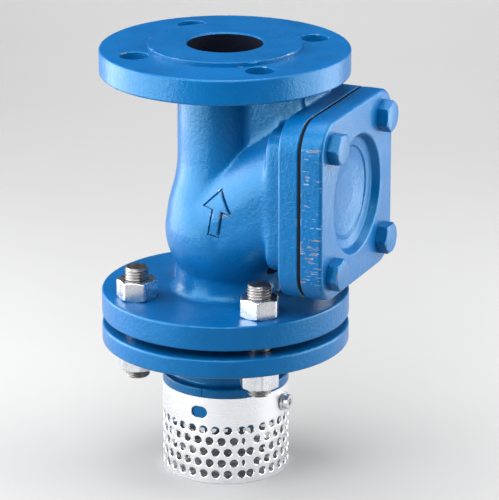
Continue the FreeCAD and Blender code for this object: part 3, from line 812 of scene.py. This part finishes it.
def make_cover_gasket():
    low, high = COVER_GASKET.low.x, COVER_GASKET.high.x
    sheet = plate("gasket", COVER_GASKET.size.y / 2, SQUARE_CORNER, low, high, 0.3 * MM, 0.3 * MM, 2)
    opening = move(drum(COVER_OPENING_R, 0, 30 * MM, 96), (low - 10 * MM, 0, COVER_Z), ONTO_X)
    boolean(sheet, [opening])
    smooth_shading(sheet)
    stand_for(sheet, "cover_gasket", "housing", FIBRE)


# ---- hexagons and threads ----------------------------------------------

def hex_reach(flat, degrees, sharp=60):
    """Distance from the axis to a hexagon with slightly rounded corners."""
    total = 0.0
    for side in range(6):
        facing = math.cos(math.radians(degrees - 60 * side - 30))
        if facing > 0:
            total += (facing / flat) ** sharp
    return total ** (-1 / sharp)


def hexagon(name, flat, low, high, bore=0.0, low_cone=True, crown=0.0, segments=120):
    """A nut or a bolt head along Z. flat is half the width across flats."""
    fillet = 0.25 * MM
    inner = flat - fillet
    slope = math.tan(math.radians(30))
    vertices = []
    rings = []

    def ring(radius_and_height):
        """Adds a ring whose radius and height come from the hexagon's reach at each angle."""
        rings.append(list(range(len(vertices), len(vertices) + segments)))
        for i in range(segments):
            degrees = 360 * i / segments
            r, z = radius_and_height(hex_reach(flat, degrees))
            vertices.append((*polar(r, degrees), z))

    def cone(r, face, side):
        return face - side * max(0.0, r - inner) * slope

    if low_cone:
        ring(lambda w: (inner * 0.97, low))
        ring(lambda w: (inner, low + 0.02 * MM))
        ring(lambda w: (w - fillet, cone(w - fillet, low, -1)))
    else:
        ring(lambda w: (w - fillet, low))
    ring(lambda w: (w - 0.07 * MM, cone(w, low, -1) + 0.05 * MM if low_cone else low + 0.07 * MM))
    ring(lambda w: (w, cone(w, low, -1) + fillet if low_cone else low + fillet))
    ring(lambda w: (w, cone(w, high, 1) - fillet))
    ring(lambda w: (w - 0.07 * MM, cone(w, high, 1) - 0.05 * MM))
    ring(lambda w: (w - fillet, cone(w - fillet, high, 1)))
    ring(lambda w: (inner, high - 0.02 * MM))
    ring(lambda w: (inner * 0.94, high + crown * 0.2))
    if bore:
        mouth = 1.0 * MM
        ring(lambda w: (bore + mouth, high))
        ring(lambda w: (bore, high - mouth))
        ring(lambda w: (bore, low + mouth))
        ring(lambda w: (bore + mouth, low))
    else:
        ring(lambda w: (inner * 0.55, high + crown * 0.75))
        ring(lambda w: (inner * 0.15, high + crown))
    faces = []
    for a, b in zip(rings, rings[1:]):
        faces += strip(a, b)
    if bore:
        faces += strip(rings[-1], rings[0])
    else:
        faces.append(tuple(rings[-1]))
        faces.append(tuple(reversed(rings[0])))
    return new_object(name, vertices, faces)


def threaded(name, radius, low, high, pitch, ends, depth=0.8 * MM, segments=48):
    """A stud with a real helical thread over the given (low, high) stretches and turned ends."""
    count = round((high - low) * 10 / pitch)
    point = 1.3 * MM
    vertices = []
    rings = []
    for k in range(count + 1):
        z = low + (high - low) * k / count
        on_thread = any(a <= z <= b for a, b in ends)
        rings.append(list(range(len(vertices), len(vertices) + segments)))
        point_r = radius - point + min(z - low, high - z, point)
        for i in range(segments):
            r = radius - 0.12 * MM
            if on_thread:
                phase = (z / pitch - i / segments) % 1.0
                ridge = min(1.0, max(0.0, abs(2 * phase - 1) * 1.5 - 0.25))
                r = radius - depth * (1 - ridge)
            vertices.append((*polar(min(r, point_r), 360 * i / segments), z))
    rings.insert(0, [len(vertices)])
    vertices.append((0, 0, low))
    rings.append([len(vertices)])
    vertices.append((0, 0, high))
    faces = []
    for a, b in zip(rings, rings[1:]):
        faces += strip(a, b)
    return new_object(name, vertices, faces)


def repeated(name, obj, places, turns):
    copies = [copy_of(obj, place, turn) for place, turn in zip(places, turns)]
    remove(obj)
    return joined(name, copies)


def flange_places():
    return [(*polar(BOLT_CIRCLE_R, a), 0) for a in CORNER_ANGLES]


def make_nuts(node, span, degrees):
    nut = hexagon("nut", NUT_HALF_FLAT, span.low.z, span.high.z, STUD_R - 0.3 * MM)
    nuts = repeated("nuts", nut, flange_places(), [about_z(a) for a in degrees])
    smooth_shading(nuts)
    stand_for(nuts, node, "housing", ZINC)


def make_studs():
    low, high = STUDS.low.z, STUDS.high.z
    ends = [(low, low + 24 * MM), (high - 26 * MM, high)]
    stud = threaded("stud", STUD_R, low, high, THREAD_PITCH, ends)
    studs = repeated("studs", stud, flange_places(), [about_z(a) for a in (0, 70, 160, 290)])
    smooth_shading(studs, 50)
    stand_for(studs, "flange_studs", "housing", THREAD)


def make_cover_bolts():
    face = COVER.high.x
    crown = 0.4 * MM
    head_h = COVER_BOLTS.high.x - face - crown
    length = 30 * MM
    shank_r = 5.8 * MM
    shank_profile = [
        (0, -length), (shank_r - 0.6 * MM, -length), (shank_r, 1 * MM - length), (shank_r, 1 * MM),
        (0, 1 * MM),
    ]
    turns = (14, -6, 4, 22)
    bolts = []
    for (y, z), turn in zip(cover_corners(), turns):
        head = hexagon("head", 9.5 * MM, 0.0, head_h, low_cone=False, crown=crown)
        shank = lathe("shank", shank_profile, 48)
        boolean(head, [shank], "UNION")
        bolts.append(move(head, (face, y, COVER_Z + z), ONTO_X @ about_z(turn)))
    bolts = joined("bolts", bolts)
    smooth_shading(bolts)
    stand_for(bolts, "cover_bolts", "housing", BOLT_ENAMEL)


# ---- flange joint and strainer ------------------------------------------

def make_flange_gasket():
    low, high = GASKET.low.z, GASKET.high.z
    outer = GASKET.high.x
    inner = 30 * MM
    section = rounded([(outer, low), (outer, high), (inner, high), (inner, low)], 0.3 * MM, 3, True)
    ring = lathe("gasket", section, 192, True)
    smooth_shading(ring)
    stand_for(ring, "flange_gasket", "housing", FIBRE)


def make_strainer_flange():
    disc_low = LOWER_NUTS.high.z
    disc_top = FLANGE.high.z - 1 * MM
    collar_low = BASKET.high.z
    collar_top = collar_low + 6.5 * MM
    collar_r = BASKET_R
    neck_r = 37.5 * MM
    bore_r = 30 * MM
    spigot_r = BASKET_R - SHEET - 0.1 * MM
    profile = [
        (bore_r, FLANGE.low.z), (spigot_r, FLANGE.low.z), (spigot_r, collar_low), (collar_r, collar_low),
        (collar_r, collar_top), (neck_r, collar_top), (neck_r, disc_low), (FLANGE_R, disc_low),
        (FLANGE_R, disc_top), (RAISED_R, disc_top), (RAISED_R, FLANGE.high.z), (bore_r, FLANGE.high.z),
    ]
    radii = [1, 1.5, 0, 0.5, 1.4, 2.2, 4, 1.8, 1.8, 0.6, 0.5, 0.8]
    casting = lathe("casting", rounded(profile, [r * MM for r in radii], 6, True), 256, True)
    boolean(casting, hole_tools(LOWER_HOLE_R, disc_low, disc_top))
    boolean(casting, [parting_fin(collar_r, collar_low, collar_top)], "UNION")
    smooth_shading(casting)
    stand_for(casting, "strainer_flange", "housing", ENAMEL)


def parting_fin(radius, low, high):
    """The mould's parting line, a small step on the collar's front."""
    facing = about_z(-89.0)
    foot, top = low + 0.4 * MM, high - 0.2 * MM
    sides = [(-0.9 * MM, foot), (0.9 * MM, foot), (0.5 * MM, top), (-0.5 * MM, top)]
    depths = (radius - 3 * MM, radius + 0.45 * MM)
    return skin("fin", [[facing @ Vector((depth, across, z)) for across, z in sides] for depth in depths])


class Sheet:
    """A rolled sheet with pierced holes, built cell by cell so that its faces stay even.

    A place on the sheet is (u, z): u is the distance around from the seam, z the height.
    """

    def __init__(self):
        self.vertices = []
        self.faces = []
        self.known = {}
        self.around = 2 * math.pi * BASKET_R

    def radius(self, u, depth):
        left = (self.around - u) / self.around * 360.0
        lap = LAP * max(0.0, 1 - left / LAP_SWEEP) ** 1.5
        return BASKET_R + lap - depth

    def point(self, u, z, depth):
        key = (round(u * 1e7), round(z * 1e7), round(depth * 1e7))
        if key not in self.known:
            self.known[key] = len(self.vertices)
            angle = SEAM + u / self.around * 360.0
            self.vertices.append((*polar(self.radius(u, depth), angle), z))
        return self.known[key]

    def quad(self, a, b, c, d):
        """One patch on both sides of the sheet; corners run counter-clockwise from outside."""
        outer = [self.point(u, z, 0.0) for u, z in (a, b, c, d)]
        inner = [self.point(u, z, SHEET) for u, z in (d, c, b, a)]
        self.faces.append(tuple(outer))
        self.faces.append(tuple(inner))

    def edge(self, a, b):
        """Closes the sheet's edge from a to b."""
        outer = (self.point(*b, 0.0), self.point(*a, 0.0))
        self.faces.append((*outer, self.point(*a, SHEET), self.point(*b, SHEET)))

    def hole(self, border, outline, reach=0.0):
        """Fills between a cell's border and a hole, and rolls the hole's lip over.

        reach is half the straight part of a slot.
        """
        count = len(border)
        cu = sum(p[0] for p in outline) / count
        cz = sum(p[1] for p in outline) / count

        def scaled(p, grow):
            middle = cu + max(-reach, min(reach, p[0] - cu))
            du, dz = p[0] - middle, p[1] - cz
            length = math.hypot(du, dz) or 1.0
            return middle + du * (1 + grow / length), cz + dz * (1 + grow / length)

        lip = (
            (0.42 * MM, 0.0), (0.20 * MM, 0.05 * MM), (0.05 * MM, 0.18 * MM), (0.0, 0.38 * MM), (0.0, SHEET),
        )
        rings = [[self.point(*scaled(p, grow), depth) for p in outline] for grow, depth in lip]
        border_outer = [self.point(*p, 0.0) for p in border]
        border_inner = [self.point(*p, SHEET) for p in border]
        chain = [border_outer] + rings + [border_inner]
        for a, b in zip(chain, chain[1:]):
            for i in range(count):
                j = (i + 1) % count
                self.faces.append((a[i], a[j], b[j], b[i]))


def cell_border(u0, u1, z0, z1, columns, levels):
    """Points around a cell, counter-clockwise from its lower left corner."""
    points = [(u0 + (u1 - u0) * k / columns, z0) for k in range(columns)]
    points += [(u1, z0 + (z1 - z0) * k / levels) for k in range(levels)]
    points += [(u1 - (u1 - u0) * k / columns, z1) for k in range(columns)]
    points += [(u0, z1 - (z1 - z0) * k / levels) for k in range(levels)]
    return points


def round_outline(border, cu, cz, radius, squash=1.0):
    """A circle's points, or a narrower oval's, in the order of the border's points."""
    count = len(border)
    start = math.atan2(border[0][1] - cz, border[0][0] - cu)
    angles = [start + 2 * math.pi * k / count for k in range(count)]
    return [(cu + radius * squash * math.cos(a), cz + radius * math.sin(a)) for a in angles]


def slot_outline(border, cu, cz, width, height):
    """An obround's points in the order of the border's points."""
    reach = (width - height) / 2
    r = height / 2
    straight = 2 * reach
    total = 2 * straight + 2 * math.pi * r
    count = len(border)
    path = []
    for k in range(count):
        s = total * k / count
        if s < straight:
            path.append((cu - reach + s, cz - r))
        elif s < straight + math.pi * r:
            a = (s - straight) / r - math.pi / 2
            path.append((cu + reach + r * math.cos(a), cz + r * math.sin(a)))
        elif s < 2 * straight + math.pi * r:
            path.append((cu + reach - (s - straight - math.pi * r), cz + r))
        else:
            a = (s - 2 * straight - math.pi * r) / r + math.pi / 2
            path.append((cu - reach + r * math.cos(a), cz + r * math.sin(a)))
    corner = math.atan2(border[0][1] - cz, border[0][0] - cu)
    best = min(range(count), key=lambda i: abs(math.atan2(path[i][1] - cz, path[i][0] - cu) - corner))
    return path[best:] + path[:best]


def make_basket():
    """The pierced sheet: a plain rim, rows of holes offset in turn by half a cell, and a band with slots."""
    sheet = Sheet()
    grid = HOLES * COLUMNS
    unit = sheet.around / grid
    levels = 4

    def at(column):
        return column * unit

    def solid(c0, c1, z0, z1, rows):
        for c in range(c0, c1):
            for k in range(rows):
                za = z0 + (z1 - z0) * k / rows
                zb = z0 + (z1 - z0) * (k + 1) / rows
                sheet.quad((at(c), za), (at(c + 1), za), (at(c + 1), zb), (at(c), zb))

    first = FIRST_ROW - ROW_STEP / 2
    for row in range(ROWS):
        z0 = first + row * ROW_STEP
        z1 = z0 + ROW_STEP
        middle = (z0 + z1) / 2
        if row % 2 == 0:
            for i in range(HOLES):
                c0, c1 = i * COLUMNS, (i + 1) * COLUMNS
                border = cell_border(at(c0), at(c1), z0, z1, COLUMNS, levels)
                # The two holes beside the seam stand a little nearer to it.
                shift = {0: -1.0 * MM, HOLES - 1: 1.0 * MM}.get(i, 0.0)
                sheet.hole(border, round_outline(border, at(c0 + COLUMNS / 2) + shift, middle, HOLE_R))
        else:
            half = COLUMNS // 2
            solid(0, half, z0, z1, levels)
            # In the half cell before the seam, the lap leaves only a narrow oval.
            border = cell_border(at(grid - half), at(grid), z0, z1, half, levels)
            sheet.hole(border, round_outline(border, at(grid) - 1.9 * MM, middle, 2.5 * MM, 0.52))
            for i in range(HOLES - 1):
                c0, c1 = half + i * COLUMNS, half + (i + 1) * COLUMNS
                border = cell_border(at(c0), at(c1), z0, z1, COLUMNS, levels)
                sheet.hole(border, round_outline(border, at(c0 + half), middle, HOLE_R))

    solid(0, grid, 0.0, first, 2)
    slot_low, slot_high = SLOT_Z - SLOT_CELL_HALF, SLOT_Z + SLOT_CELL_HALF
    solid(0, grid, first + ROWS * ROW_STEP, slot_low, 1)
    solid(0, grid, slot_high, BASKET.high.z, 2)
    rows = 8
    half_cell = 8
    slots = [round((degrees - SEAM) % 360 / 360 * grid) for degrees in (0, 90, 180, 270)]
    c = 0
    while c < grid:
        middle = c + half_cell
        if middle in slots:
            border = cell_border(at(c), at(middle + half_cell), slot_low, slot_high, 2 * half_cell, rows)
            outline = slot_outline(border, at(middle), SLOT_Z, SLOT_W, SLOT_H)
            sheet.hole(border, outline, (SLOT_W - SLOT_H) / 2)
            c += 2 * half_cell
        else:
            solid(c, c + 1, slot_low, slot_high, rows)
            c += 1
    for c in range(grid):
        sheet.edge((at(c + 1), 0.0), (at(c), 0.0))
        sheet.edge((at(c), BASKET.high.z), (at(c + 1), BASKET.high.z))
    basket = new_object("basket", sheet.vertices, sheet.faces)

    def close_ends(bm):
        ends = [e for e in bm.edges if e.is_boundary]
        bmesh.ops.holes_fill(bm, edges=ends, sides=0)
        bmesh.ops.recalc_face_normals(bm, faces=bm.faces)
    edit(basket, close_ends)
    smooth_shading(basket, 40)
    stand_for(basket, "strainer_basket", "housing", SHEET_STEEL)
    # Inward-facing faces take the dark stainless: painted shade inside the basket.
    basket.data.materials.append(SHEET_PAINTED_SHADE)
    for polygon in basket.data.polygons:
        outward = Vector((polygon.center.x, polygon.center.y, 0)).normalized()
        if polygon.normal.dot(outward) < -0.5:
            polygon.material_index = 1


# ---- camera, light and floor --------------------------------------------

def make_stage():
    half = 8.0
    corners = [(-half, -half, 0), (half, -half, 0), (half, half, 0), (-half, half, 0)]
    floor = new_object("floor", corners, [(0, 1, 2, 3)])
    move(floor, (0, 0, cad_low.z - 0.2 * MM))
    n = Nodes("pale_floor")
    tone = n.mix(n.remap(n.noise(3, 2), 0.3, 0.7), (0.275, 0.275, 0.275), (0.285, 0.285, 0.285))
    dress(floor, n.set(color=tone, roughness=0.9, specular=0.1))

    world = bpy.data.worlds.new("studio")
    bpy.context.scene.world = world
    world.use_nodes = True
    background = world.node_tree.nodes["Background"]
    background.inputs["Color"].default_value = (0.80, 0.82, 0.85, 1)
    background.inputs["Strength"].default_value = 0.06


def area_light(name, place, aim, width, height, power, spread=180):
    data = bpy.data.lights.new(name, "AREA")
    data.shape = "RECTANGLE"
    data.size = width
    data.size_y = height
    data.energy = power
    data.spread = math.radians(spread)
    lamp = bpy.data.objects.new(name, data)
    bpy.context.scene.collection.objects.link(lamp)
    lamp.location = place
    lamp.rotation_euler = (Vector(aim) - Vector(place)).to_track_quat("-Z", "Y").to_euler()
    lamp.visible_camera = False


CAMERA_AZIMUTH = 24.0
CAMERA_ELEVATION = 18.4
CAMERA_DISTANCE = 2.3
CAMERA_LENS = 249.0


def make_camera():
    azimuth = math.radians(CAMERA_AZIMUTH)
    elevation = math.radians(CAMERA_ELEVATION)
    back = Vector((math.sin(azimuth) * math.cos(elevation), -math.cos(azimuth) * math.cos(elevation),
                   math.sin(elevation)))
    right = Vector((math.cos(azimuth), math.sin(azimuth), 0))
    target = Vector((0, 0, (cad_low.z + cad_high.z) / 2 + 3.7 * MM)) + right * (16 * MM)
    data = bpy.data.cameras.new("camera")
    data.lens = CAMERA_LENS
    camera = bpy.data.objects.new("camera", data)
    bpy.context.scene.collection.objects.link(camera)
    camera.location = target + back * CAMERA_DISTANCE
    camera.rotation_euler = (-back).to_track_quat("-Z", "Y").to_euler()
    bpy.context.scene.camera = camera


def make_lights():
    azimuth = math.radians(CAMERA_AZIMUTH)
    right = Vector((math.cos(azimuth), math.sin(azimuth), 0))
    front = Vector((math.sin(azimuth), -math.cos(azimuth), 0))
    up = Vector((0, 0, 1))
    level = up * 0.37
    area_light("left_panel", -right * 0.62 + front * 0.08 + level, level + front * 0.08, 1.2, 0.74, 20.0)
    area_light("right_panel", right * 0.60 - front * 0.01 + level, level - front * 0.01, 0.74, 0.74, 10.5)
    area_light("front_panel", front * 0.72 - right * 0.20 + up * 0.98, level, 0.95, 0.50, 12.5)
    area_light("top_panel", up * 1.7 - front * 0.25, -front * 0.25, 1.7, 1.4, 18, spread=120)
    area_light("rear_panel", up * 1.7 - front * 1.62, -front * 1.62, 2.4, 0.9, 24, spread=90)


# ---- the whole scene ----------------------------------------------------

make_valve_body()
make_cover()
make_cover_gasket()
make_cover_bolts()
make_nuts("upper_nuts", UPPER_NUTS, (8, 0, 17, -11))
make_nuts("lower_nuts", LOWER_NUTS, (-14, 9, 4, 2))
make_studs()
make_flange_gasket()
make_strainer_flange()
make_basket()

CAD_LOOKS = {
    "seat_ring": BRONZE, "clapper_disc": IRON, "clapper_facing": RUBBER, "retaining_plate": STAINLESS,
    "facing_screw": STAINLESS, "clapper_arm": IRON, "arm_bushes": BRONZE, "disc_washer": STAINLESS,
    "disc_nut": STAINLESS, "split_pin": STAINLESS, "hinge_pin": STAINLESS, "pin_clips": STAINLESS,
    "hinge_bracket": IRON, "bracket_screws": STAINLESS, "strainer_bottom": SHEET_STEEL,
    "strainer_washers": STAINLESS, "strainer_screws": STAINLESS,
}
for node, material in CAD_LOOKS.items():
    dress(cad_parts[node], material)

make_stage()
make_camera()
make_lights()
bpy.context.scene.view_settings.view_transform = "Standard"
